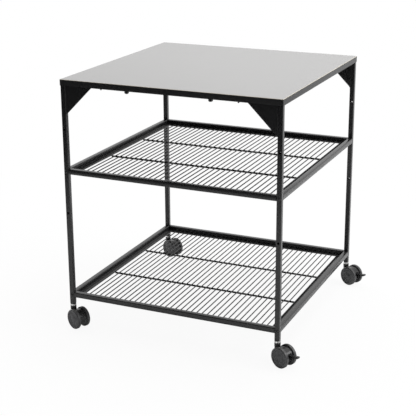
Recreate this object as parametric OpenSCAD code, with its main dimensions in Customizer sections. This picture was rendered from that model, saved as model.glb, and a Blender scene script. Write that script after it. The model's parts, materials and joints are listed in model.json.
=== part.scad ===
// Three-tier mobile stand: folded steel top, two wire shelves, bolt-together square legs
// and four twin-wheel castors. Millimetres, +Z up, floor at z = 0, centred under the top.

/* [Overall] */
// Width of the tabletop
top_w = 600; // [500:10:900]
// Depth of the tabletop
top_d = 600; // [400:10:900]
// Height of the tabletop above the floor
stand_h = 675; // [560:5:900]

/* [Tabletop] */
// Thickness of the folded sheet
sheet_t = 1; // [0.8:0.1:2]
// Height of the turned-down edge
apron_h = 16; // [15:1:40]
// Distance of the two stiffeners from the middle
stiffener_x = 113; // [60:1:180]
// Width of a stiffener across its flanges
stiffener_w = 34; // [24:1:60]
// Distance of the small screws from the end of a gusset
small_screw_inset = 24; // [15:1:30]

/* [Legs] */
// Side of the square leg tube
leg_w = 13; // [10:0.5:25]
// Wall of the leg tube
leg_wall = 1; // [0.8:0.1:2]
// Corner radius of the leg tube
leg_r = 1.8; // [1:0.1:3]
// Length of the sleeve that joins the two halves of a leg
joiner_l = 80; // [40:5:120]
// Diameter of the spare shelf holes
hole_d = 6.5; // [4:0.1:8]
// Height of a spare hole above and below the middle shelf's screw
hole_pitch = 113; // [60:1:150]
// Size of a corner gusset along the leg and along the top
gusset_l = 77; // [30:1:120]
// Thickness of a gusset
gusset_t = 2; // [1:0.5:4]

/* [Shelves] */
// Height of the middle shelf's rail tops above the floor
mid_shelf_z = 439.5; // [380:0.5:520]
// Height of the bottom shelf's rail tops above the floor
low_shelf_z = 96; // [90:0.5:180]
// Height of a rail
rail_h = 14; // [10:0.5:30]
// Width of a rail
rail_w = 14; // [10:0.5:30]
// Wall of a rail
rail_wall = 1.2; // [0.8:0.1:2]
// Width of the ledge that the wires rest on
ledge_w = 15; // [8:0.5:25]
// Thickness of the ledge
ledge_t = 1.5; // [1:0.1:3]
// Diameter of a shelf wire
wire_d = 3; // [1.5:0.1:4]
// Spacing wanted between shelf wires
wire_pitch = 15; // [10:0.5:40]
// Diameter of the two cross rods
rod_d = 5; // [2:0.1:6]

/* [Castors] */
// Diameter of a wheel
wheel_d = 54; // [45:0.2:65]
// Width of a wheel
wheel_w = 10; // [8:0.5:14]
// Gap between the two wheels
wheel_gap = 19; // [17:0.5:24]
// Distance of the axle behind the swivel axis
trail = 22.5; // [21:0.5:24]
// Direction in which the castors trail, from +X
trail_angle = -24; // [-180:1:180]
// Diameter of the axle
axle_d = 6; // [5:0.5:8]
// Diameter of the stem
stem_d = 8; // [6:0.5:10]
// Diameter of the bright ring under a leg
ring_d = 16; // [14:0.5:20]
// Height of the bright ring
ring_h = 4.5; // [2:0.5:8]
// Reach of a brake lever from its pin
lever_l = 36; // [30:1:45]

/* [Hidden] */
$fn = 48;
fit = 0.05;            // running or sliding clearance on a radius
rest_gap = 0.05;       // gap between a wire and what it rests on
corners = [["fl", -1, -1], ["fr", 1, -1], ["bl", -1, 1], ["br", 1, 1]];

// Legs and the rails under the top
leg_x = top_w / 2 - sheet_t - leg_w / 2;
leg_y = top_d / 2 - sheet_t - leg_w / 2;
under_top = stand_h - sheet_t;
bay_w = 2 * leg_x - leg_w;
bay_d = 2 * leg_y - leg_w;
head_w = leg_w;
small_screw_x = bay_w / 2 - gusset_l - small_screw_inset;
head_z = under_top - head_w;
seam_z = mid_shelf_z - 2.5;
screw_mid_z = mid_shelf_z - rail_h / 2;
screw_low_z = low_shelf_z - rail_h / 2;
joiner_w = leg_w - 2 * leg_wall - 2 * fit;
joiner_wall = 1.2;

// Screws
shelf_screw_d = 5;
shelf_head_d = 8;
shelf_head_h = 2;
rail_plug = 14;
bolt_d = 6;
nut_af = 10;
nut_h = 8;
small_bolt_d = 4;
small_nut_af = 7;
small_nut_h = 3.2;

// Castors, from the floor up
axle_z = wheel_d / 2;
collar_gap = 0.3;
collar_top = wheel_d + 2.7;
ring_z = collar_top + collar_gap;
foot_z = ring_z + ring_h;
foot_flange = 2.5;
leg_z = foot_z + foot_flange;
foot_plug = min(20, screw_low_z - shelf_head_d / 2 - leg_z);
collar_r = 8;
hood_w = wheel_gap - 1;
hood_r = 22;
stem_foot_z = axle_z + axle_d / 2 + 4;
stem_top_z = leg_z + foot_plug - 2;
hub_r = 7;
rim_w = 3.5;
rim_step = 0.9;
tread_r = 2.5;
axle_l = wheel_gap + 2 * (wheel_w - 3);

// Brake lever, in the castor's middle plane
pin_d = 4;
pin_x = trail + 13;
pin_z = axle_z + 7;
lever_w = 9;
lever_t = 5.5;
lever_rise = 8.5;
lever_neck = 3.5;
slot_w = lever_w + 0.8;
lever_boss_r = 4.5;

frame_w = 2 * leg_x + leg_w;
frame_d = 2 * leg_y + leg_w;
inner_w = frame_w - 2 * rail_w;
inner_d = frame_d - 2 * rail_w;
grid_w = inner_w - 2 * ledge_w;
wire_gaps = round(grid_w / wire_pitch);
wire_step = grid_w / wire_gaps;
wire_l = inner_d - 1;

// Outline of a box with rounded corners, each an arc of four chords
module rounded_box(w, d, r) {
    steps = 4;
    polygon([for (i = [0:3], k = [0:steps])
        let (a = 90 * i + 90 * k / steps,
             sx = (i == 0 || i == 3) ? 1 : -1,
             sy = i < 2 ? 1 : -1)
        [sx * (w / 2 - r) + r * cos(a), sy * (d / 2 - r) + r * sin(a)]]);
}

module square_tube(w, wall, r, length) {
    linear_extrude(length) difference() {
        rounded_box(w, w, r);
        rounded_box(w - 2 * wall, w - 2 * wall, max(0.3, r - wall));
    }
}

// A straight hole or pin along Y, centred on the XZ plane
module along_y(d, length) {
    rotate([90, 0, 0]) cylinder(d = d, h = length, center = true);
}

module at_corner(c, z = 0) {
    translate([c[1] * leg_x, c[2] * leg_y, z]) children();
}

// A castor's own frame: swivel axis at the origin, axle along Y, trailing towards +X
module at_castor(c) {
    at_corner(c) rotate([0, 0, trail_angle]) children();
}

module tabletop() {
    color("lightgray") difference() {
        translate([0, 0, stand_h - apron_h]) linear_extrude(apron_h)
            rounded_box(top_w, top_d, 1.5);
        translate([0, 0, stand_h - apron_h - 1]) linear_extrude(apron_h + 1 - sheet_t)
            square([top_w - 2 * sheet_t, top_d - 2 * sheet_t], center = true);
    }
}

// Hat section that runs from the front head rail to the back one
module stiffener(side) {
    flange = 9;
    depth = head_w - 1;
    w = stiffener_w;
    color("dimgray") translate([side * stiffener_x, bay_d / 2, under_top])
        rotate([90, 0, 0]) linear_extrude(bay_d) polygon([
            [-w / 2, 0], [-w / 2, -sheet_t], [-w / 2 + flange - sheet_t, -sheet_t],
            [-w / 2 + flange - sheet_t, -depth], [w / 2 - flange + sheet_t, -depth],
            [w / 2 - flange + sheet_t, -sheet_t], [w / 2, -sheet_t], [w / 2, 0],
            [w / 2 - flange, 0], [w / 2 - flange, sheet_t - depth],
            [-w / 2 + flange, sheet_t - depth], [-w / 2 + flange, 0]]);
}

// Tube between two upper legs, under the tabletop
module head_rail(side) {
    color("dimgray") difference() {
        translate([-bay_w / 2, side * leg_y, head_z + head_w / 2])
            rotate([0, 90, 0]) square_tube(head_w, leg_wall, leg_r, bay_w);
        for (x = [-stiffener_x, stiffener_x])
            translate([x, side * leg_y, head_z - 1])
                cylinder(d = bolt_d + 0.6, h = head_w + 2);
        for (x = [-small_screw_x, small_screw_x])
            translate([x, side * leg_y, head_z - 1])
                cylinder(d = small_bolt_d + 0.6, h = head_w + 2);
    }
}

// Studs under the sheet, each with a domed nut below the head rail
module tabletop_bolts() {
    color("dimgray") for (x = [-stiffener_x, stiffener_x], y = [-leg_y, leg_y])
        translate([x, y, 0]) {
            translate([0, 0, head_z - nut_h]) cylinder(d = bolt_d, h = head_w + nut_h);
            translate([0, 0, head_z - nut_h])
                cylinder(d = nut_af / cos(30), h = nut_h, $fn = 6);
            translate([0, 0, head_z - nut_h]) intersection() {
                translate([0, 0, 3]) sphere(d = nut_af - 0.6);
                translate([0, 0, -nut_af]) cylinder(d = nut_af, h = nut_af + 1);
            }
        }
}

module tabletop_screws() {
    color("dimgray")
    for (x = [-small_screw_x, small_screw_x], y = [-leg_y, leg_y])
        translate([x, y, head_z]) {
            translate([0, 0, -6]) cylinder(d = small_bolt_d, h = head_w + 6);
            translate([0, 0, -small_nut_h])
                cylinder(d = small_nut_af / cos(30), h = small_nut_h, $fn = 6);
        }
}

module upper_leg(c) {
    color("dimgray") at_corner(c) difference() {
        translate([0, 0, seam_z]) square_tube(leg_w, leg_wall, leg_r, under_top - seam_z);
        translate([0, 0, screw_mid_z + hole_pitch]) along_y(hole_d, leg_w + 2);
    }
}

module lower_leg(c) {
    color("dimgray") at_corner(c) difference() {
        translate([0, 0, leg_z]) square_tube(leg_w, leg_wall, leg_r, seam_z - leg_z);
        translate([0, 0, screw_mid_z - hole_pitch]) along_y(hole_d, leg_w + 2);
        for (z = [screw_mid_z, screw_low_z])
            translate([0, 0, z]) along_y(shelf_screw_d + 0.4, leg_w + 2);
    }
}

module leg_joiners() {
    color("gray") for (c = corners) at_corner(c) difference() {
        translate([0, 0, seam_z - joiner_l / 2])
            square_tube(joiner_w, joiner_wall, leg_r - leg_wall + 0.3, joiner_l);
        translate([0, 0, screw_mid_z]) along_y(shelf_screw_d + 0.4, leg_w);
    }
}

// Triangular plate in the front or back plane, under the head rail and beside the leg
module gusset(c) {
    lip = 8;
    plate_y = top_d / 2 - sheet_t - 1;
    color("dimgray") translate([c[1] * bay_w / 2, c[2] * plate_y, head_z])
        mirror([c[1] > 0 ? 1 : 0, 0, 0]) {
            rotate([90, 0, 0]) translate([0, 0, c[2] > 0 ? 0 : -gusset_t])
                linear_extrude(gusset_t)
                    polygon([[0, 0], [gusset_l, 0], [gusset_l - 2, -3],
                        [3, 2 - gusset_l], [0, -gusset_l]]);
            mirror([0, c[2] > 0 ? 0 : 1, 0]) translate([0, -gusset_t - lip, -gusset_l + 3])
                cube([gusset_t, lip + 0.01, gusset_l - 3]);
        }
}

// Four rails with an inner ledge, notched at the corners for the legs
module shelf_frame(top_z) {
    color("dimgray") translate([0, 0, top_z - rail_h]) {
        linear_extrude(ledge_t) difference() {
            square([inner_w + 1, inner_d + 1], center = true);
            square([grid_w, inner_d - 2 * ledge_w], center = true);
            for (x = [-leg_x, leg_x], y = [-leg_y, leg_y]) translate([x, y])
                square(leg_w + 2 * fit, center = true);
        }
        for (s = [-1, 1]) {
            translate([-bay_w / 2, s * (frame_d - rail_w) / 2, rail_h / 2])
                rotate([0, 90, 0]) linear_extrude(bay_w) difference() {
                    square([rail_h, rail_w], center = true);
                    square([rail_h - 2 * rail_wall, rail_w - 2 * rail_wall], center = true);
                }
            translate([s * (frame_w - rail_w) / 2, 0, rail_h / 2]) difference() {
                cube([rail_w, bay_d, rail_h], center = true);
                cube([rail_w - 2 * rail_wall, bay_d - 2 * rail_plug,
                    rail_h - 2 * rail_wall], center = true);
                translate([s * (leg_x - (frame_w - rail_w) / 2), 0, 0])
                    along_y(shelf_screw_d + 2 * fit, bay_d + 2);
            }
        }
    }
}

// Front-to-back wires lying on two cross rods
module shelf_grid(top_z) {
    wire_z = top_z - rail_h + ledge_t + rest_gap + wire_d / 2;
    rod_z = wire_z - wire_d / 2 - rest_gap - rod_d / 2;
    color("dimgray") {
        for (i = [0:wire_gaps])
            translate([-grid_w / 2 + i * wire_step, 0, wire_z])
                along_y(wire_d, wire_l);
        for (s = [-1, 1])
            translate([0, s * inner_d / 6, rod_z])
                rotate([0, 90, 0]) cylinder(d = rod_d, h = grid_w - 2 * fit, center = true);
    }
}

module shelf_screws() {
    color("gray") for (c = corners, z = [screw_mid_z, screw_low_z]) at_corner(c, z)
        rotate([c[2] < 0 ? 90 : -90, 0, 0]) {
            translate([0, 0, leg_w / 2]) cylinder(d1 = shelf_head_d, d2 = 5, h = shelf_head_h);
            translate([0, 0, -leg_w / 2 - rail_plug + 2])
                cylinder(d = shelf_screw_d, h = leg_w + rail_plug - 2 + 0.5);
        }
}

// Plug in the leg's end, threaded for the castor stem, with a rounded flange below the tube
module foot_inserts() {
    color("black") for (c = corners) at_corner(c) difference() {
        union() {
            translate([0, 0, foot_z]) linear_extrude(foot_flange)
                rounded_box(leg_w, leg_w, leg_r + 1);
            translate([0, 0, foot_z]) linear_extrude(foot_flange + foot_plug)
                rounded_box(joiner_w, joiner_w, leg_r - leg_wall + 0.3);
        }
        translate([0, 0, foot_z - 1]) cylinder(d = stem_d + 2 * fit, h = foot_plug + 5);
    }
}

module stem(c) {
    color("silver") at_corner(c) {
        translate([0, 0, stem_foot_z]) cylinder(d = stem_d, h = stem_top_z - stem_foot_z - 1);
        translate([0, 0, stem_top_z - 1]) cylinder(d1 = stem_d, d2 = stem_d - 2, h = 1);
    }
}

module ring(c) {
    color("silver") at_corner(c, ring_z) difference() {
        cylinder(d = ring_d, h = ring_h);
        translate([0, 0, -1]) cylinder(d = stem_d + 2 * fit, h = ring_h + 2);
    }
}

// Body between the wheels, with the collar that turns on the stem
module hood(c, braked) {
    color("black") at_castor(c) difference() {
        union() {
            translate([trail, 0, axle_z]) along_y(2 * hood_r, hood_w);
            translate([-collar_r, -hood_w / 2 + 1, axle_z - 3])
                cube([trail - 2, hood_w - 2, collar_top - axle_z - 9]);
            translate([0, 0, axle_z - 3]) cylinder(r = collar_r, h = collar_top - axle_z + 3);
        }
        translate([0, 0, stem_foot_z - 2]) cylinder(d = stem_d + 2 * fit, h = 60);
        translate([trail, 0, axle_z]) along_y(axle_d + 2 * fit, 60);
        if (braked) {
            translate([pin_x, 0, pin_z]) along_y(pin_d + 2 * fit, 60);
            translate([pin_x - lever_boss_r - 1, -slot_w / 2, pin_z - lever_boss_r - 1.5])
                cube([60, slot_w, 60]);
        }
    }
}

module axle(c) {
    color("silver") at_castor(c) translate([trail, 0, axle_z]) along_y(axle_d, axle_l);
}

// Wheel with a crowned tread, a raised rim and a shallow dished face
module wheel(c, side) {
    r = wheel_d / 2;
    w = wheel_w;
    arc = [0, 30, 60, 90];
    color([0.2, 0.2, 0.2]) at_castor(c) translate([trail, side * wheel_gap / 2, axle_z])
        rotate([-90 * side, 0, 0]) difference() {
            rotate_extrude() polygon(concat(
                [[0, 0], [hub_r, 0], [hub_r, 0.6], [r - 4, 0.6]],
                [for (a = arc) [r - tread_r + tread_r * sin(a), 0.6 + tread_r * (1 - cos(a))]],
                [for (a = arc) [r - tread_r + tread_r * cos(a), w - tread_r + tread_r * sin(a)]],
                [[r - tread_r - rim_w, w], [r - tread_r - rim_w - 1, w - rim_step],
                 [0, w - rim_step]]));
            translate([0, 0, -1]) cylinder(d = axle_d + 2 * fit, h = w - 1.6);
        }
}

// Pedal: boss round the pin, and an arm that rises to a flat pad
module brake_lever(c) {
    color("black") at_castor(c) translate([pin_x, 0, pin_z]) difference() {
        union() {
            along_y(2 * lever_boss_r, lever_w);
            translate([0, lever_w / 2, 0]) rotate([90, 0, 0]) linear_extrude(lever_w) polygon([
                [0, -lever_boss_r], [lever_l * 0.45, 1 - lever_neck],
                [lever_l, lever_rise - lever_t], [lever_l + 1, lever_rise - 0.5],
                [lever_l - 1, lever_rise], [lever_l * 0.45, 1 + lever_neck],
                [0, lever_boss_r]]);
        }
        along_y(pin_d + 2 * fit, 60);
    }
}

module lever_pin(c) {
    color("silver") at_castor(c) translate([pin_x, 0, pin_z]) along_y(pin_d, hood_w - 0.4);
}

tabletop();
stiffener(-1);  // stiffener_left
stiffener(1);  // stiffener_right
head_rail(-1);  // head_rail_front
head_rail(1);  // head_rail_back
tabletop_bolts();
tabletop_screws();
leg_joiners();
shelf_frame(mid_shelf_z);  // middle_frame
shelf_grid(mid_shelf_z);  // middle_grid
shelf_frame(low_shelf_z);  // bottom_frame
shelf_grid(low_shelf_z);  // bottom_grid
shelf_screws();
foot_inserts();
brake_lever(corners[1]);  // brake_lever_fr
brake_lever(corners[3]);  // brake_lever_br
lever_pin(corners[1]);  // lever_pin_fr
lever_pin(corners[3]);  // lever_pin_br
for (c = corners) {
    upper_leg(c);
    lower_leg(c);
    gusset(c);
    stem(c);
    ring(c);
    hood(c, c[1] > 0);
    axle(c);
    wheel(c, -1);
    wheel(c, 1);
}
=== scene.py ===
# Looks for a three-tier mobile stand: folded steel top, two wire shelves, square
# legs and four twin-wheel castors. Metres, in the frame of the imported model.
import json
import math

import bmesh
import bpy
from mathutils import Matrix, Vector


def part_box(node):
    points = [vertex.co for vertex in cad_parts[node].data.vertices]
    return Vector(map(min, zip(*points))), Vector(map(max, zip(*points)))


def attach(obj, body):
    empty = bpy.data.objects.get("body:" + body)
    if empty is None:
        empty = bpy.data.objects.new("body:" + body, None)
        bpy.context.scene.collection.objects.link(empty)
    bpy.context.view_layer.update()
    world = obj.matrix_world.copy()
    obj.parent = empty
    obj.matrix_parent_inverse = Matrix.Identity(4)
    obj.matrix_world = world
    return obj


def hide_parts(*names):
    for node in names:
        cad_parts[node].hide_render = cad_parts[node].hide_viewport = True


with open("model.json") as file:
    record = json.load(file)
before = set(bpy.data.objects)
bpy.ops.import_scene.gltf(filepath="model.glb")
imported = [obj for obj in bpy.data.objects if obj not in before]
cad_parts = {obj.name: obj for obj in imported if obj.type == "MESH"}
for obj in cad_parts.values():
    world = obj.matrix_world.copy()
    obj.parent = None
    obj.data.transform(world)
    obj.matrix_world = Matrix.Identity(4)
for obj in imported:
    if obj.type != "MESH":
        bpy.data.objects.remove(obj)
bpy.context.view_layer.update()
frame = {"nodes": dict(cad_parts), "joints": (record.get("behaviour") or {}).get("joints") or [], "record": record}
MM = 0.001
CORNERS = {"fl": (-1, -1), "fr": (1, -1), "bl": (-1, 1), "br": (1, 1)}
STAND = "stand"
SMOOTH_ANGLE = math.radians(35)


# ---------------------------------------------------------------- shader groups
def new_group(name, inputs, outputs):
    """A shader node group with (name, type, default) inputs and (name, type) outputs."""
    tree = bpy.data.node_groups.new(name, "ShaderNodeTree")
    for label, kind, default in inputs:
        sock = tree.interface.new_socket(label, in_out="INPUT", socket_type=kind)
        sock.default_value = default
    for label, kind in outputs:
        tree.interface.new_socket(label, in_out="OUTPUT", socket_type=kind)
    return tree, tree.nodes.new("NodeGroupInput"), tree.nodes.new("NodeGroupOutput")


def node(tree, kind, inputs=(), **props):
    """A node with its properties set, and inputs given as (socket, value or output)."""
    made = tree.nodes.new(kind)
    for key, value in props.items():
        setattr(made, key, value)
    for key, value in inputs:
        if isinstance(value, bpy.types.NodeSocket):
            tree.links.new(value, made.inputs[key])
        else:
            made.inputs[key].default_value = value
    return made


def math_node(tree, operation, a, b, c=0.0, clamp=False):
    return node(tree, "ShaderNodeMath", [(0, a), (1, b), (2, c)], operation=operation,
                use_clamp=clamp).outputs[0]


def noise(tree, place, scale, detail, roughness=0.5):
    return node(tree, "ShaderNodeTexNoise",
                [("Vector", place), ("Scale", scale), ("Detail", detail),
                 ("Roughness", roughness)]).outputs["Fac"]


def map_range(tree, value, from_range, to_range=(0.0, 1.0), **props):
    return node(tree, "ShaderNodeMapRange",
                [("Value", value), ("From Min", from_range[0]), ("From Max", from_range[1]),
                 ("To Min", to_range[0]), ("To Max", to_range[1])], **props).outputs[0]


def mix_colour(tree, factor, a, b, blend="MIX"):
    """Colours a and b mixed; sockets 6 and 7 are the ones that hold a colour."""
    return node(tree, "ShaderNodeMix", [(0, factor), (6, a), (7, b)], data_type="RGBA",
                blend_type=blend).outputs[2]


def object_place(tree):
    return node(tree, "ShaderNodeTexCoord").outputs["Object"]


def facing_up(tree):
    """Upward part of the surface normal, 1 on faces that look straight up."""
    normal = node(tree, "ShaderNodeNewGeometry").outputs["Normal"]
    return node(tree, "ShaderNodeSeparateXYZ", [(0, normal)]).outputs["Z"]


FLOAT, COLOUR = "NodeSocketFloat", "NodeSocketColor"
SPECKLE_SCALE, CLOUD_SCALE = 2500.0, 9.0
COAT_ROUGHNESS_SPREAD = 0.08
DUST_GREY = (0.45, 0.42, 0.38)


def coat_texture_group():
    """Fine orange peel and speckle of a baked coat, as height, roughness and shade."""
    tree, gin, gout = new_group(
        "coat_texture",
        [("Peel scale", FLOAT, 900.0), ("Roughness", FLOAT, 0.4),
         ("Shade spread", FLOAT, 0.12)],
        [("Height", FLOAT), ("Roughness", FLOAT), ("Shade", FLOAT)])
    pick = gin.outputs
    place = object_place(tree)
    peel = noise(tree, place, pick["Peel scale"], 2.0)
    speck = noise(tree, place, SPECKLE_SCALE, 1.0)
    cloud = noise(tree, place, CLOUD_SCALE, 3.0, 0.6)
    height = math_node(tree, "MULTIPLY_ADD", speck, 0.25, peel)
    wander = math_node(tree, "SUBTRACT", cloud, 0.5)
    rough = math_node(tree, "MULTIPLY_ADD", wander, COAT_ROUGHNESS_SPREAD, pick["Roughness"])
    grain = math_node(tree, "SUBTRACT", speck, 0.5)
    both = math_node(tree, "ADD", wander, grain)
    shade = math_node(tree, "MULTIPLY_ADD", both, pick["Shade spread"], 1.0)
    for i, value in enumerate((height, rough, shade)):
        tree.links.new(value, gout.inputs[i])
    return tree


def dust_group():
    """Dust that settles on faces that look up, in soft patches."""
    tree, gin, gout = new_group(
        "settled_dust", [("Colour", COLOUR, (0.1, 0.1, 0.1, 1)), ("Amount", FLOAT, 0.1)],
        [("Colour", COLOUR)])
    facing = map_range(tree, facing_up(tree), (0.5, 1.0))
    patch = noise(tree, object_place(tree), 14.0, 4.0, 0.65)
    spread = map_range(tree, patch, (0.35, 0.75))
    mask = math_node(tree, "MULTIPLY", facing, spread)
    mask = math_node(tree, "MULTIPLY", mask, gin.outputs["Amount"], clamp=True)
    dusted = mix_colour(tree, mask, gin.outputs["Colour"], (*DUST_GREY, 1))
    tree.links.new(dusted, gout.inputs[0])
    return tree


COAT = coat_texture_group()
DUST = dust_group()


def surface_material(name):
    mat = bpy.data.materials.new(name)
    mat.use_nodes = True
    return mat, mat.node_tree, mat.node_tree.nodes["Principled BSDF"].inputs


def set_surface(tree, surface, colour, roughness, height, bump, distance):
    """Links a colour, a roughness and a bump to the material's surface."""
    ridge = node(tree, "ShaderNodeBump", [("Height", height), ("Strength", bump),
                                          ("Distance", distance)])
    tree.links.new(colour, surface["Base Color"])
    tree.links.new(roughness, surface["Roughness"])
    tree.links.new(ridge.outputs[0], surface["Normal"])


def finish_material(name, colour, roughness, peel=900.0, bump=0.15, shade_spread=0.12,
                    dust=0.0, specular=0.5, colour_from=None):
    """A coat or moulded plastic: coat texture, settled dust and a bump."""
    mat, tree, surface = surface_material(name)
    coat = node(tree, "ShaderNodeGroup", node_tree=COAT)
    for key, value in (("Peel scale", peel), ("Roughness", roughness),
                       ("Shade spread", shade_spread)):
        coat.inputs[key].default_value = value
    base = colour_from(tree) if colour_from else (*colour, 1)
    tint = mix_colour(tree, 1.0, base, coat.outputs["Shade"], "MULTIPLY")
    dusty = node(tree, "ShaderNodeGroup", node_tree=DUST)
    tree.links.new(tint, dusty.inputs["Colour"])
    dusty.inputs["Amount"].default_value = dust
    set_surface(tree, surface, dusty.outputs[0], coat.outputs["Roughness"],
                coat.outputs["Height"], bump, 0.2 * MM)
    surface["Specular IOR Level"].default_value = specular
    return mat


DRAWN_LINES = (40, 40, 900)  # stretch of the noise, long across and fine along Z


def brushed_metal(name, colour, roughness, rough_spread=0.15):
    """Turned or drawn metal with fine lines round the piece."""
    mat, tree, surface = surface_material(name)
    scaled = node(tree, "ShaderNodeMapping", [("Vector", object_place(tree)),
                                              ("Scale", DRAWN_LINES)]).outputs[0]
    lines = noise(tree, scaled, 6.0, 3.0)
    rough = math_node(tree, "MULTIPLY_ADD", lines, rough_spread, roughness)
    dark = tuple(c * 0.7 for c in colour)
    mixed = mix_colour(tree, lines, (*dark, 1), (*colour, 1))
    set_surface(tree, surface, mixed, rough, lines, 0.1, 0.1 * MM)
    surface["Metallic"].default_value = 1.0
    return mat


# painted sheen: the light grey that the dark top shows where it reflects the overhead light
TOP_SHEEN_GREY = (0.385, 0.382, 0.38)
FRAME_GREY = (0.018, 0.018, 0.019)
# painted highlight: the pale line that light draws along the top's rounded fold
FOLD_HIGHLIGHT_CREAM = (0.62, 0.57, 0.48)


def top_sheen_colours(tree):
    """Painted sheen and highlight: light grey on faces that look up, where the dark coat reflects the overhead
    light, dark turned-down edges, and a painted highlight as a pale line on the fold.
    """
    ramp = node(tree, "ShaderNodeValToRGB", [(0, facing_up(tree))])
    # dark coat on the sides, painted highlight on the fold, painted sheen on the upper face
    stops = ((0.30, FRAME_GREY), (0.42, FOLD_HIGHLIGHT_CREAM), (0.93, FOLD_HIGHLIGHT_CREAM), (0.985, TOP_SHEEN_GREY))
    ramp.color_ramp.elements[0].position = stops[0][0]
    ramp.color_ramp.elements[1].position = stops[-1][0]
    for place, _ in stops[1:-1]:
        ramp.color_ramp.elements.new(place)
    for element, (_, colour) in zip(ramp.color_ramp.elements, stops):
        element.color = (*colour, 1)
    return ramp.outputs["Color"]


# the top's dark coat, with a painted sheen on its upper face and a painted highlight on its fold
top_enamel = finish_material("top_enamel", TOP_SHEEN_GREY, 0.42, peel=700, bump=0.08,
                             shade_spread=0.05, colour_from=top_sheen_colours)
frame_enamel = finish_material("frame_enamel", FRAME_GREY, 0.27, bump=0.08, dust=0.03)
# the wire coat made darker for the cross rods: painted shade where they lie under the wires
rod_shaded_enamel = finish_material("rod_shaded_enamel", (0.006, 0.006, 0.007), 0.5, bump=0.1,
                             specular=0.25)
wire_enamel = finish_material("wire_enamel", (0.012, 0.012, 0.013), 0.34, bump=0.1,
                              specular=0.35)
black_plastic = finish_material("black_plastic", (0.016, 0.016, 0.017), 0.24, peel=1500,
                                bump=0.15, dust=0.03)
wheel_plastic = finish_material("wheel_plastic", (0.085, 0.086, 0.089), 0.42, peel=1300,
                                bump=0.3, dust=0.06, shade_spread=0.15)
tread_rubber = finish_material("tread_rubber", (0.05, 0.05, 0.052), 0.33, peel=1100,
                               bump=0.35, dust=0.1, shade_spread=0.2)
zinc_screw = brushed_metal("zinc_screw", (0.30, 0.30, 0.29), 0.3)
black_screw = finish_material("black_screw", (0.02, 0.02, 0.021), 0.32, peel=1800)
bright_ring = brushed_metal("bright_ring", (0.95, 0.95, 0.94), 0.34, rough_spread=0.08)


# ---------------------------------------------------------------- mesh tools
def link(name, data):
    obj = bpy.data.objects.new(name, data)
    bpy.context.scene.collection.objects.link(obj)
    return obj


def evaluated_mesh(obj):
    """The plain mesh that an object's modifiers make."""
    evaluated = obj.evaluated_get(bpy.context.evaluated_depsgraph_get())
    return bpy.data.meshes.new_from_object(evaluated)


def make_object(name, bm, material):
    bmesh.ops.remove_doubles(bm, verts=bm.verts, dist=1e-6)
    bmesh.ops.recalc_face_normals(bm, faces=bm.faces)
    mesh = bpy.data.meshes.new(name)
    bm.to_mesh(mesh)
    bm.free()
    mesh.materials.append(material)
    return link(name, mesh)


def soften(obj):
    """Smooth shading, broken where faces meet at more than the smooth angle."""
    obj.data.shade_smooth()
    obj.data.set_sharp_from_angle(angle=SMOOTH_ANGLE)
    return obj


def settle(obj, body, replaces=()):
    """Rides a finished piece on its body, and hides the imported parts that it stands in for."""
    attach(obj, body)
    if replaces:
        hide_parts(*replaces)
    return obj


def rounded_outline(half, radius, steps=5):
    """Points round a square with rounded corners, anticlockwise, as many for any size."""
    points = []
    for i, (sx, sy) in enumerate(((1, 1), (-1, 1), (-1, -1), (1, -1))):
        centre = half - radius
        points += arc(sx * centre, sy * centre, radius, 90 * i, 90 * (i + 1), steps)
    return points


def add_loft(bm, loops):
    """Closed loops joined one to the next, with a cap on each end."""
    rings = [[bm.verts.new(p) for p in loop] for loop in loops]
    for a, b in zip(rings, rings[1:]):
        for i in range(len(a)):
            j = (i + 1) % len(a)
            bm.faces.new((a[i], a[j], b[j], b[i]))
    bm.faces.new(rings[0][::-1])
    bm.faces.new(rings[-1])


def add_prism(bm, outline, ends, place):
    """An outline of (x, z) in mm drawn out along Y between two ends, then placed."""
    add_loft(bm, [[place @ Vector((x * MM, y * MM, z * MM)) for x, z in outline]
                  for y in ends])


def add_lathe(bm, profile, segments, place=Matrix.Identity(4)):
    """A (radius, along) profile in mm turned about its own Z, then placed."""
    rings = []
    for radius, along in profile:
        r, z = radius * MM, along * MM
        if r == 0:
            rings.append([bm.verts.new(place @ Vector((0, 0, z)))])
        else:
            turns = [2 * math.pi * k / segments for k in range(segments)]
            rings.append([bm.verts.new(place @ Vector((r * math.cos(a), r * math.sin(a), z)))
                          for a in turns])
    for a, b in zip(rings, rings[1:]):
        for k in range(segments):
            m = (k + 1) % segments
            corners = [a[k % len(a)], a[m % len(a)], b[m % len(b)], b[k % len(b)]]
            unique = list(dict.fromkeys(corners))
            if len(unique) > 2:
                bm.faces.new(unique)


def arc(cx, cy, radius, start, end, steps):
    """Points on an arc, in degrees."""
    return [(cx + radius * math.cos(math.radians(start + (end - start) * k / steps)),
             cy + radius * math.sin(math.radians(start + (end - start) * k / steps)))
            for k in range(steps + 1)]


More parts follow.
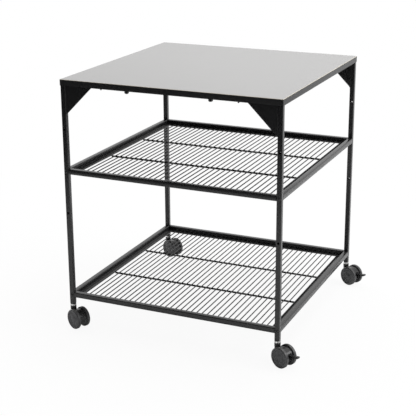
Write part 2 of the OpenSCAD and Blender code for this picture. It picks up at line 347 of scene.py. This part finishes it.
# ---------------------------------------------------------------- repeated pieces
def repeat_tree():
    """Places one part on every point, turned by the point's own turn."""
    tree = bpy.data.node_groups.new("repeat_on_points", "GeometryNodeTree")
    for label, kind in (("Points", "NodeSocketGeometry"), ("Part", "NodeSocketObject"),
                        ("Finish", "NodeSocketMaterial")):
        tree.interface.new_socket(label, in_out="INPUT", socket_type=kind)
    tree.interface.new_socket("Geometry", in_out="OUTPUT", socket_type="NodeSocketGeometry")
    gin, gout = tree.nodes.new("NodeGroupInput"), tree.nodes.new("NodeGroupOutput")
    part = node(tree, "GeometryNodeObjectInfo", [("Object", gin.outputs["Part"])])
    turn = node(tree, "GeometryNodeInputNamedAttribute", [("Name", "turn")],
                data_type="FLOAT_VECTOR")
    placed = node(tree, "GeometryNodeInstanceOnPoints",
                  [("Points", gin.outputs["Points"]), ("Instance", part.outputs["Geometry"]),
                   ("Rotation", turn.outputs[0])])
    real = node(tree, "GeometryNodeRealizeInstances", [(0, placed.outputs[0])])
    painted = node(tree, "GeometryNodeSetMaterial",
                   [("Geometry", real.outputs[0]), ("Material", gin.outputs["Finish"])])
    tree.links.new(painted.outputs[0], gout.inputs[0])
    return tree


BAR_SIDES = 14
CROSSING_WELD = (1.35, 1.5, 0.6)  # a flattened lump, in wire radii
QUARTER_TURN = math.pi / 2


def grid_tree():
    """Parallel wires over cross rods, with a flattened weld at each crossing."""
    tree = bpy.data.node_groups.new("wire_shelf", "GeometryNodeTree")
    tree.interface.new_socket("Geometry", in_out="OUTPUT", socket_type="NodeSocketGeometry")
    for label, kind in (("Wires", "NodeSocketInt"), ("Rods", "NodeSocketInt"),
                        ("Width", FLOAT), ("Rod span", FLOAT), ("Wire length", FLOAT),
                        ("Wire radius", FLOAT), ("Rod length", FLOAT), ("Rod radius", FLOAT),
                        ("Wire height", FLOAT), ("Rod height", FLOAT),
                        ("Finish", "NodeSocketMaterial"),
                        ("Rod shaded finish", "NodeSocketMaterial")):
        tree.interface.new_socket(label, in_out="INPUT", socket_type=kind)
    gin, gout = tree.nodes.new("NodeGroupInput"), tree.nodes.new("NodeGroupOutput")
    pick = gin.outputs

    def raised(instances, height):
        up = node(tree, "ShaderNodeCombineXYZ", [("Z", height)])
        return node(tree, "GeometryNodeTranslateInstances",
                    [("Instances", instances.outputs[0]), ("Translation", up.outputs[0]),
                     ("Local Space", False)]).outputs[0]

    def bars(kind, count, span, along_x, turn):
        """Round bars spaced across a span, centred, at one height."""
        grid = node(tree, "GeometryNodeMeshGrid",
                    [("Size X", span if along_x else 0.0), ("Size Y", 0.0 if along_x else span),
                     ("Vertices X", count if along_x else 2),
                     ("Vertices Y", 2 if along_x else count)])
        merged = node(tree, "GeometryNodeMergeByDistance", [(0, grid.outputs[0])])
        bar = node(tree, "GeometryNodeMeshCylinder",
                   [("Vertices", BAR_SIDES), ("Radius", pick[kind + " radius"]),
                    ("Depth", pick[kind + " length"])])
        laid = node(tree, "GeometryNodeInstanceOnPoints",
                    [("Points", merged.outputs[0]), ("Instance", bar.outputs[0]),
                     ("Rotation", turn)])
        return raised(laid, pick[kind + " height"])

    wires = bars("Wire", pick["Wires"], pick["Width"], True, (QUARTER_TURN, 0.0, 0.0))
    rods = bars("Rod", pick["Rods"], pick["Rod span"], False, (0.0, QUARTER_TURN, 0.0))
    crossing = node(tree, "GeometryNodeMeshGrid",
                    [("Size X", pick["Width"]), ("Size Y", pick["Rod span"]),
                     ("Vertices X", pick["Wires"]), ("Vertices Y", pick["Rods"])])
    lump = node(tree, "GeometryNodeMeshIcoSphere", [("Radius", pick["Wire radius"]),
                                                    ("Subdivisions", 2)])
    lumps = node(tree, "GeometryNodeInstanceOnPoints",
                 [("Points", crossing.outputs[0]), ("Instance", lump.outputs[0]),
                  ("Scale", CROSSING_WELD)])
    middle = math_node(tree, "ADD", pick["Wire height"], pick["Rod height"])
    welds = raised(lumps, math_node(tree, "MULTIPLY", middle, 0.5))
    join = tree.nodes.new("GeometryNodeJoinGeometry")
    for piece in (wires, rods, welds):
        tree.links.new(piece, join.inputs[0])
    real = node(tree, "GeometryNodeRealizeInstances", [(0, join.outputs[0])])
    painted = node(tree, "GeometryNodeSetMaterial",
                   [("Geometry", real.outputs[0]), ("Material", pick["Finish"])])
    # all that lies below the wires takes the rod finish, which paints the shade under the wires
    place = node(tree, "GeometryNodeInputPosition").outputs[0]
    depth = node(tree, "ShaderNodeSeparateXYZ", [(0, place)]).outputs["Z"]
    under_wires = math_node(tree, "SUBTRACT", pick["Wire height"], pick["Wire radius"])
    below = math_node(tree, "LESS_THAN", depth, under_wires)
    shaded = node(tree, "GeometryNodeSetMaterial",
                  [("Geometry", painted.outputs[0]), ("Selection", below),
                   ("Material", pick["Rod shaded finish"])])
    tree.links.new(shaded.outputs[0], gout.inputs[0])
    return tree


REPEAT = repeat_tree()
GRID = grid_tree()


def grow(name, base_mesh, tree, values):
    """Runs a tree on a base mesh and returns the plain mesh it makes."""
    base = link(name + "_base", base_mesh)
    modifier = base.modifiers.new(tree.name, "NODES")
    modifier.node_group = tree
    for item in tree.interface.items_tree:
        if item.in_out == "INPUT" and item.name in values:
            modifier[item.identifier] = values[item.name]
    mesh = evaluated_mesh(base)
    mesh.name = name
    bpy.data.objects.remove(base)
    return soften(link(name, mesh))


def repeat(name, part, places, material):
    """Copies of a part at (point, turn) places, as one mesh. The part is used up."""
    mesh = bpy.data.meshes.new(name + "_points")
    mesh.from_pydata([p for p, _ in places], [], [])
    turns = mesh.attributes.new("turn", "FLOAT_VECTOR", "POINT")
    turns.data.foreach_set("vector", [x for _, t in places for x in t])
    made = grow(name, mesh, REPEAT, {"Part": part, "Finish": material})
    bpy.data.objects.remove(part)
    return made


# ---------------------------------------------------------------- tabletop
def make_tabletop():
    """A pan of thin sheet with a rounded fold, open underneath."""
    low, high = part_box("tabletop")
    half = (high.x - low.x) / 2
    fold, sheet = 1.4 * MM, 1.0 * MM

    def square_loops(levels, corner_radius):
        return [[(x, y, z) for x, y in rounded_outline(half - inset, corner_radius)]
                for z, inset in levels]

    inside = [(high.z - sheet, sheet + 0.4 * MM), (high.z - fold, sheet), (low.z, sheet)]
    outside = [(low.z, 0.0), (high.z - fold, 0.0)]
    outside += [(high.z - fold + fold * math.sin(math.radians(a)),
                 fold - fold * math.cos(math.radians(a))) for a in (15, 30, 45, 60, 75, 90)]
    bm = bmesh.new()
    add_loft(bm, square_loops(inside, 1.0 * MM) + square_loops(outside, 1.6 * MM))
    top = make_object("tabletop_pan", bm, top_enamel)
    return settle(soften(top), STAND, ["tabletop"])


# ---------------------------------------------------------------- shelves
TUBE_W, LEDGE_W, LEDGE_T = 14 * MM, 15 * MM, 1.5 * MM
TUBE_CORNER, LEDGE_FILLET, CORNER_STEPS = 2.2 * MM, 1.0 * MM, 4
LONG_LEDGE_GAP = 14.6 * MM  # from the side of the frame to a front or back rail's ledge
RAIL_CLEARANCE = 0.02 * MM  # between a rail's end and the leg
RAIL_OVERLAP = 0.2 * MM  # of the bare tube at each end with the tube that has a ledge
WIRE_R, ROD_R = 1.5 * MM, 2.5 * MM
WIRES, RODS, ROD_SPAN = 37, 2, 190 * MM


def rail_outlines(height):
    """Outlines of a tube with a ledge at the foot of its inner wall, and of the tube alone.

    They are (inwards from the outer face, up from the bottom)."""
    tip, r = TUBE_W + LEDGE_W - LEDGE_T / 2, TUBE_CORNER
    foot = arc(r, r, r, 180, 270, CORNER_STEPS)
    ledge = [(tip, 0)] + arc(tip, LEDGE_T / 2, LEDGE_T / 2, -60, 60, 3) + [(tip, LEDGE_T)]
    ledge += arc(TUBE_W + LEDGE_FILLET, LEDGE_T + LEDGE_FILLET, LEDGE_FILLET, 270, 180, 3)
    head = arc(TUBE_W - r, height - r, r, 0, 90, CORNER_STEPS)
    head += arc(r, height - r, r, 90, 180, CORNER_STEPS)
    return foot + ledge + head, foot + [(TUBE_W, 0), ledge[-1]] + head


def make_shelf_frame(name, node_name):
    low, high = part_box(node_name)
    leg_low, leg_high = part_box("lower_leg_fl")
    half = high.x
    with_ledge, tube = rail_outlines(high.z - low.z)
    bm = bmesh.new()
    tube_reach = half - (leg_high.x - leg_low.x) - RAIL_CLEARANCE
    for turn in range(4):
        place = Matrix.Rotation(math.radians(90 * turn), 4, "Z")
        # the ledges of the side rails stop where those of the front and back rails run
        reach = half - (LONG_LEDGE_GAP if turn % 2 == 0 else TUBE_W + LEDGE_W)
        lengths = [(with_ledge, -reach, reach)]
        lengths += [(tube, s * (reach - RAIL_OVERLAP), s * tube_reach) for s in (-1, 1)]
        for outline, *ends in lengths:
            add_loft(bm, [[place @ Vector((x, -half + u, low.z + v)) for u, v in outline]
                          for x in ends])
    rails = make_object(name, bm, frame_enamel)
    return settle(soften(rails), STAND, [node_name])


def make_shelf_grid(name, node_name):
    low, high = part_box(node_name)
    width = (high.x - low.x) - 2 * WIRE_R
    empty = bpy.data.meshes.new(name + "_seed")
    values = {"Wires": WIRES, "Rods": RODS, "Width": width, "Rod span": ROD_SPAN,
              "Wire length": high.y - low.y, "Wire radius": WIRE_R,
              "Rod length": width - 0.1 * MM, "Rod radius": ROD_R,
              "Wire height": high.z - WIRE_R, "Rod height": low.z + ROD_R,
              "Finish": wire_enamel, "Rod shaded finish": rod_shaded_enamel}
    grid = grow(name, empty, GRID, values)
    return settle(grid, STAND, [node_name])


# ---------------------------------------------------------------- small hardware
def screw_head():
    """Low domed head with a round socket, facing +Z from its seat."""
    bm = bmesh.new()
    socket = [(0, 0.7), (1.3, 0.7), (1.3, 2.0)]
    dome = [(2.1, 2.0), (3.0, 1.75), (3.7, 1.2), (4.0, 0.5), (4.0, 0.0), (0, 0.0)]
    add_lathe(bm, socket + dome, 24)
    return make_object("screw_head", bm, zinc_screw)


def add_hexagon(bm, across_flats, rings):
    """A hexagon bar below its seat, by rings of (depth in mm, part of the full size)."""
    corner = across_flats / math.sqrt(3)
    turns = [math.radians(60 * k) for k in range(6)]
    add_loft(bm, [[(corner * part * MM * math.cos(a), corner * part * MM * math.sin(a),
                    -depth * MM) for a in turns] for depth, part in rings])


def dome_nut():
    """Cap nut hanging below its seat, with chamfered flats and a low crown."""
    bm = bmesh.new()
    add_hexagon(bm, 10, [(0, 0.93), (0.5, 1), (7.4, 1), (8.0, 0.9)])
    crown = [(4.6 * math.cos(math.radians(a)), -8.0 - 1.6 * math.sin(math.radians(a)))
             for a in range(0, 91, 15)]
    add_lathe(bm, [(0, -7.6), (4.6, -7.6)] + crown, 24)
    return make_object("dome_nut", bm, zinc_screw)


def small_nut():
    """Small hexagon nut with the screw's end showing below it."""
    bm = bmesh.new()
    add_hexagon(bm, 7, [(0, 0.95), (0.3, 1), (2.9, 1), (3.2, 0.92)])
    thread = [(0, -3.0)]
    z, pitch = -3.0, 0.35
    while z > -5.6:
        thread += [(1.75, z), (2.0, z - 0.18), (1.75, z - pitch)]
        z -= pitch
    thread += [(1.5, -6.0), (0, -6.0)]
    add_lathe(bm, thread, 16)
    return make_object("small_nut", bm, zinc_screw)


BOLT_X, SCREW_X = 113 * MM, 185 * MM  # nuts under the front and back head rails


def make_hardware():
    leg_low, leg_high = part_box("upper_leg_fr")
    axis = (leg_low.x + leg_high.x) / 2
    rail_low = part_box("head_rail_front")[0].z
    heads = []
    for sx, sy in CORNERS.values():
        for node_name in ("middle_frame", "bottom_frame"):
            low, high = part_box(node_name)
            heads.append(((sx * axis, sy * leg_high.x, (low.z + high.z) / 2),
                          (math.radians(-90 * sy), 0, 0)))
    screws = repeat("shelf_screw_heads", screw_head(), heads, black_screw)
    settle(screws, STAND, ["shelf_screws"])
    for name, part, reach, turn, node_name in (
            ("dome_nuts", dome_nut(), BOLT_X, 0.3, "tabletop_bolts"),
            ("small_nuts", small_nut(), SCREW_X, 0.1, "tabletop_screws")):
        places = [((x, sy * axis, rail_low), (0, 0, turn)) for x in (-reach, reach)
                  for sy in (-1, 1)]
        nuts = repeat(name, part, places, frame_enamel)
        settle(nuts, STAND, [node_name])


# ---------------------------------------------------------------- bent and cut steel
BEVEL_ANGLE = math.radians(40)
STEEL_EDGE = 0.35 * MM


def bevelled(obj, width):
    """Rounds the sharp edges; the flats between them keep their own normals."""
    soften(obj)
    modifier = obj.modifiers.new("edge", "BEVEL")
    modifier.width = width
    modifier.segments = 2
    modifier.limit_method = "ANGLE"
    modifier.angle_limit = BEVEL_ANGLE
    modifier.harden_normals = True
    mesh = evaluated_mesh(obj)
    obj.modifiers.clear()
    obj.data = mesh
    return obj


def smoothed(node_name, material):
    """A part of the stand with its edges eased, so that they catch the light."""
    bm = bmesh.new()
    bm.from_mesh(frame["nodes"][node_name].data)
    bmesh.ops.remove_doubles(bm, verts=bm.verts, dist=2e-6)
    bmesh.ops.dissolve_limit(bm, angle_limit=math.radians(0.5), verts=bm.verts,
                             edges=bm.edges)
    mesh = bpy.data.meshes.new(node_name + "_eased")
    bm.to_mesh(mesh)
    bm.free()
    mesh.materials.append(material)
    obj = bevelled(link(node_name + "_eased", mesh), STEEL_EDGE)
    return settle(obj, STAND, [node_name])


WELD_R, WELD_STEP = 1.5 * MM, 1.9 * MM


def weld_lump():
    bm = bmesh.new()
    bmesh.ops.create_icosphere(bm, subdivisions=1, radius=WELD_R)
    return make_object("weld_lump", bm, frame_enamel)


def make_welds():
    """Beads where the gussets meet the legs and the rails under the top."""
    places = []
    for corner, (sx, sy) in CORNERS.items():
        low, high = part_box("gusset_" + corner)
        x = high.x if sx > 0 else low.x
        y = high.y if sy > 0 else low.y
        for k in range(int((high.z - low.z) / WELD_STEP)):
            wobble = 0.1 * (k % 5)
            places.append(((x, y, high.z - 1 * MM - k * WELD_STEP), (0.4, wobble, 0.2)))
        for k in range(int((high.x - low.x) / WELD_STEP)):
            wobble = 0.1 * (k % 5)
            places.append(((x - sx * k * WELD_STEP, y, high.z), (wobble, 0.4, 0.2)))
    welds = repeat("gusset_welds", weld_lump(), places, frame_enamel)
    settle(welds, STAND)


# ---------------------------------------------------------------- castors
def joint_named(name):
    return next(j for j in frame["joints"] if j["name"] == name)


def castor_place(corner):
    """Castor's own frame: origin on the swivel axis at the floor, axle along Y."""
    swivel = Vector(joint_named("swivel_" + corner)["pos_m"])
    roll = joint_named("near_roll_" + corner)
    axle = Vector(roll["axis"])
    trail = Vector(roll["pos_m"]) - swivel
    trail.z = 0
    out = trail.normalized()
    turn = Matrix((out, axle, Vector((0, 0, 1)))).transposed().to_4x4()
    return Matrix.Translation(Vector((swivel.x, swivel.y, 0))) @ turn


# mm, in the castor's own frame
AXLE_X, AXLE_Z, AXLE_R = 22.5, 27.0, 3.05
WHEEL_R, WHEEL_W, WHEEL_INNER_Y = 27.0, 10.0, 9.5
HOOD_HALF, STEM_R = 9.0, 4.05
LEVER_PIN_X, LEVER_PIN_Z = 35.5, 34


def wheel_profile():
    """(radius, distance from the inner face) in mm, round the whole section."""
    r, w = WHEEL_R, WHEEL_W
    tread = arc(r - 2.0, 2.6, 2.0, -90, 0, 5) + [(r, 5.2)] + arc(r - 2.4, w - 2.8, 2.4, 0, 75, 6)
    rim = [(r - 2.7, w - 0.35), (r - 3.3, w - 0.05), (r - 4.6, w), (r - 5.3, w - 0.25)]
    dish = [(r - 5.8, w - 0.9), (r - 7.6, w - 1.1), (r - 8.0, w - 1.35), (r - 8.4, w - 1.1),
            (12.4, w - 1.2), (12.0, w - 1.45), (11.6, w - 1.2), (6.6, w - 1.1),
            (6.0, w - 0.8), (0, w - 0.75)]
    inner = [(AXLE_R, 0.0), (6.6, 0.0), (7.0, 0.6), (10, 0.8), (r - 5, 0.8), (r - 4.4, 0.6)]
    return [(AXLE_R, w - 2.6)] + inner + tread + rim + dish


def shift(x, y, z):
    """A move by so many mm."""
    return Matrix.Translation(Vector((x * MM, y * MM, z * MM)))


def make_wheel(corner, side):
    body = "%s_wheel_%s" % (side, corner)
    sign = -1 if side == "near" else 1
    out = castor_place(corner) @ shift(AXLE_X, sign * WHEEL_INNER_Y, AXLE_Z)
    out = out @ Matrix.Rotation(math.radians(-90 * sign), 4, "X")
    bm = bmesh.new()
    add_lathe(bm, wheel_profile(), 72, out)
    obj = make_object("wheel_%s_%s" % (side, corner), bm, wheel_plastic)
    obj.data.materials.append(tread_rubber)
    centre = out.translation
    axis = (out.to_3x3() @ Vector((0, 0, 1))).normalized()
    for face in obj.data.polygons:
        offset = face.center - centre
        radial = (offset - axis * offset.dot(axis)).length
        if radial > (WHEEL_R - 2.2) * MM:
            face.material_index = 1
    return settle(soften(obj), body, [body])


def hood_solids(braked):
    """Outlines (x, z) and the two ends of each along Y, in the castor's own frame."""
    end, web_end, web_half = (33, 70, 3.6) if braked else (-8, 0, 6.0)
    fender = arc(AXLE_X, AXLE_Z, 23.4, 128, end, 16) + arc(AXLE_X, AXLE_Z, 20.6, end, 128, 16)
    web = ([(-6.5, 25), (-6.5, 44), (6, 46.5), (9, 46.5)]
           + arc(AXLE_X, AXLE_Z, 21.5, 112, web_end, 10)
           + [(AXLE_X + 7, AXLE_Z - 6), (AXLE_X - 4, AXLE_Z - 11), (2, 18), (-4, 20)])
    solids = [(fender, (-HOOD_HALF, HOOD_HALF)), (web, (-web_half, web_half))]
    if braked:
        cheek = (arc(AXLE_X, AXLE_Z, 23.3, 45, -12, 8)
                 + [(AXLE_X + 6, AXLE_Z - 8), (AXLE_X, AXLE_Z + 6)])
        solids += [(cheek, (s * 5.1, s * HOOD_HALF)) for s in (-1, 1)]
    return solids


def make_hood(corner, braked):
    """Fender and web over the wheels, the collar round the stem and the axle's boss."""
    place = castor_place(corner)
    bm = bmesh.new()
    for outline, ends in hood_solids(braked):
        add_prism(bm, outline, ends, place)
    collar = [(STEM_R, 30), (7.6, 30), (7.6, 46.0), (8.0, 46.6), (8.0, 55.9), (7.6, 56.6),
              (STEM_R, 56.6), (STEM_R, 30)]
    add_lathe(bm, collar, 40, place)
    boss = [(AXLE_R, -9), (7.5, -9), (8, -8.5), (8, 8.5), (7.5, 9), (AXLE_R, 9),
            (AXLE_R, -9)]
    boss_place = place @ shift(AXLE_X, 0, AXLE_Z) @ Matrix.Rotation(QUARTER_TURN, 4, "X")
    add_lathe(bm, boss, 32, boss_place)
    obj = bevelled(make_object("hood_shell_" + corner, bm, black_plastic), 0.5 * MM)
    return settle(obj, "castor_" + corner, ["hood_" + corner])


def make_lever(corner):
    """Brake pedal: boss round the pin, neck, and a ribbed toe pad that turns up."""
    place = castor_place(corner) @ shift(LEVER_PIN_X, 0, LEVER_PIN_Z)
    bm = bmesh.new()
    side = (arc(0, 0, 4.4, 70, 250, 10) + [(6, -3.7), (17, -2.3), (27, 0.2), (35.8, 3.1),
            (36.8, 5.4), (36.6, 7.4), (35.2, 8.2), (27, 6.4), (17, 4.4), (6, 4.3)])
    add_prism(bm, side, (-4.4, 4.4), place)
    for k in range(3):
        along = 2.7 * k
        x, z = 26.5 + along, 6.15 + 0.2 * along
        rib = [(x, z - 0.5), (x + 1.0, z - 0.3), (x + 0.9, z + 0.6), (x + 0.1, z + 0.45)]
        add_prism(bm, rib, (-3.4, 3.4), place)
    obj = bevelled(make_object("brake_pedal_" + corner, bm, black_plastic), 0.4 * MM)
    return settle(obj, "lever_" + corner, ["brake_lever_" + corner])


# ---------------------------------------------------------------- build
make_tabletop()
make_shelf_frame("middle_rails", "middle_frame")
make_shelf_frame("bottom_rails", "bottom_frame")
make_shelf_grid("middle_wires", "middle_grid")
make_shelf_grid("bottom_wires", "bottom_grid")
make_hardware()
make_welds()
for part in ("head_rail_front", "head_rail_back", "stiffener_left", "stiffener_right"):
    smoothed(part, frame_enamel)
smoothed("foot_inserts", black_plastic)
for corner, (sx, _) in CORNERS.items():
    for part in ("upper_leg_", "lower_leg_", "gusset_"):
        smoothed(part + corner, frame_enamel)
    smoothed("ring_" + corner, bright_ring)
    make_hood(corner, sx > 0)
    for side in ("near", "far"):
        make_wheel(corner, side)
    if sx > 0:
        make_lever(corner)

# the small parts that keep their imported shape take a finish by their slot
CAD_FINISH = {"top_enamel": top_enamel, "frame_enamel": frame_enamel,
              "wire_enamel": wire_enamel, "hardware": zinc_screw, "bright_ring": bright_ring,
              "black_plastic": black_plastic, "wheel_plastic": wheel_plastic}
for row in frame["record"]["subparts"]:
    obj = frame["nodes"][row["node"]]
    obj.data.materials.clear()
    obj.data.materials.append(CAD_FINISH[row["material_slot"]])


# ---------------------------------------------------------------- stage and light
FLOOR_R, FADE_START, FADE_END = 1.65, 0.5, 1.5
FLOOR_GLOW = 0.92  # of the floor's white that is glow under the stand; 1 past the fade
FLOOR_WHITE, FLOOR_WHITE_SEEN = (0.92, 0.92, 0.92, 1), (0.9, 0.9, 0.9, 1)


def emptied(tree):
    tree.nodes.clear()
    return tree


def make_floor():
    """White cloth with faint contact shadows, melting into the white backdrop."""
    mat = bpy.data.materials.new("studio_floor")
    mat.use_nodes = True
    tree = emptied(mat.node_tree)
    reach = node(tree, "ShaderNodeVectorMath", [(0, object_place(tree))],
                 operation="LENGTH").outputs["Value"]
    fade = map_range(tree, reach, (FADE_START, FADE_END), (FLOOR_GLOW, 1.0))
    camera = node(tree, "ShaderNodeLightPath").outputs["Is Camera Ray"]
    mask = math_node(tree, "MULTIPLY", camera, fade)
    shade = mix_colour(tree, camera, FLOOR_WHITE, FLOOR_WHITE_SEEN)
    cloth = node(tree, "ShaderNodeBsdfDiffuse", [("Color", shade)])
    glow = node(tree, "ShaderNodeEmission", [("Strength", 1.0)])
    mixed = node(tree, "ShaderNodeMixShader", [(0, mask), (1, cloth.outputs[0]),
                                               (2, glow.outputs[0])])
    node(tree, "ShaderNodeOutputMaterial", [(0, mixed.outputs[0])])
    bm = bmesh.new()
    bmesh.ops.create_circle(bm, cap_ends=True, radius=FLOOR_R, segments=96)
    make_object("studio_floor", bm, mat)


TO_CAMERA_SIDE = (-0.15, -0.98, -0.1)
ROOM_DARK = 0.015


def make_world():
    """White to the camera; a studio that is dark behind the camera to everything else."""
    world = bpy.data.worlds.new("studio")
    bpy.context.scene.world = world
    world.use_nodes = True
    tree = emptied(world.node_tree)
    ray = node(tree, "ShaderNodeTexCoord").outputs["Generated"]
    front = node(tree, "ShaderNodeVectorMath", [(0, ray), (1, TO_CAMERA_SIDE)],
                 operation="DOT_PRODUCT").outputs["Value"]
    dark = map_range(tree, front, (-0.05, 0.45), (1.0, ROOM_DARK),
                     interpolation_type="SMOOTHSTEP")
    camera = node(tree, "ShaderNodeLightPath").outputs["Is Camera Ray"]
    strength = node(tree, "ShaderNodeMix", [(0, camera), (2, dark), (3, 1.0)],
                    data_type="FLOAT")
    back = node(tree, "ShaderNodeBackground", [("Color", (1, 1, 1, 1)),
                                               ("Strength", strength.outputs[0])])
    node(tree, "ShaderNodeOutputWorld", [(0, back.outputs[0])])


def add_light(name, place, target, size, watts):
    data = bpy.data.lights.new(name, "AREA")
    data.shape = "DISK"
    data.size = size
    data.energy = watts
    lamp = link(name, data)
    lamp.location = place
    direction = Vector(target) - Vector(place)
    lamp.rotation_euler = direction.to_track_quat("-Z", "Y").to_euler()
    lamp.visible_camera = False


CAMERA_PLACE = (1.1201, -2.5844, 1.2181)
CAMERA_AZIMUTH, CAMERA_ELEVATION, CAMERA_ROLL = 23.8809, 17.3042, -0.2445  # degrees


def make_camera():
    data = bpy.data.cameras.new("camera")
    data.lens = 92.866
    data.sensor_width = 36
    data.shift_y = -0.05
    data.clip_start, data.clip_end = 0.1, 50
    cam = link("camera", data)
    azimuth, elevation = math.radians(CAMERA_AZIMUTH), math.radians(CAMERA_ELEVATION)
    back = Vector((math.sin(azimuth) * math.cos(elevation),
                   -math.cos(azimuth) * math.cos(elevation), math.sin(elevation)))
    cam.location = CAMERA_PLACE
    cam.rotation_mode = "QUATERNION"
    roll = Matrix.Rotation(math.radians(CAMERA_ROLL), 3, "Z").to_quaternion()
    cam.rotation_quaternion = (-back).to_track_quat("-Z", "Y") @ roll
    bpy.context.scene.camera = cam


make_floor()
make_world()
add_light("overhead_softbox", (0.3, 0.5, 3.2), (0, 0, 0.3), 2.6, 40)
add_light("right_softbox", (2.7, 0.5, 2.1), (0, 0, 0.4), 1.5, 26)
add_light("left_strip", (-2.8, 1.3, 0.9), (0, 0, 0.4), 0.7, 12)
add_light("corner_strip", (2.9, -1.2, 0.9), (0, 0, 0.4), 0.4, 6)
make_camera()
bpy.context.scene.view_settings.view_transform = "Standard"
